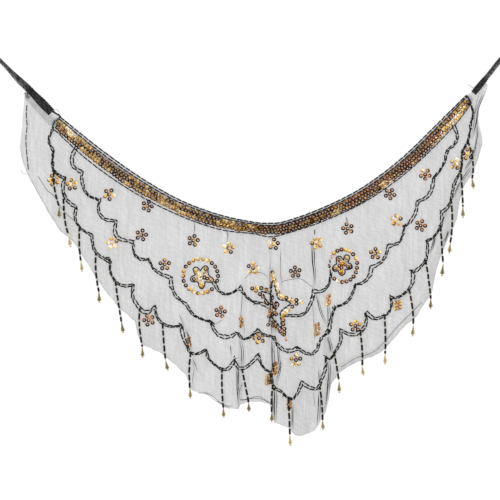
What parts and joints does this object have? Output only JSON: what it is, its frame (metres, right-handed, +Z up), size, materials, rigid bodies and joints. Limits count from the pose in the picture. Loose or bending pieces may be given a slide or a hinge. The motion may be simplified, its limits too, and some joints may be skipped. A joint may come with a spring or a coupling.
{
  "type": "dance veil",
  "caption": "Sheer net dance veil laid flat, with a sequin band, scalloped bead lines, bead drops and a tape tie at each top corner.",
  "frame": {"origin": "under the middle of the whole part's box, on the surface that it lies on", "axes": "+X along the band towards the right tie, +Y from the hem towards the ties, +Z up from the surface, the beaded face up"},
  "size_m": [0.6464, 0.4416, 0.0102],
  "materials": {
    "net": "sheer soft black net",
    "tape": "woven black tape",
    "sequins": "bronze and gold cupped sequins",
    "beads": "glossy black bugle beads",
    "pearls": "champagne seed and pear beads"
  },
  "bodies": {
    "root": {"veil_net": "net", "top_band": "sequins", "tie_left": "tape", "tie_right": "tape", "inner_line_left": "beads", "inner_line_right": "beads", "middle_line_left": "beads", "middle_line_centre": "beads", "middle_line_right": "beads", "star_left": "sequins", "star_right": "sequins", "drop_line_1": "beads", "drop_line_2": "beads", "drop_line_3": "beads", "drop_line_4": "beads", "drop_line_5": "beads", "flower_left": "sequins", "flower_right": "sequins"}
  },
  "joints": []
}
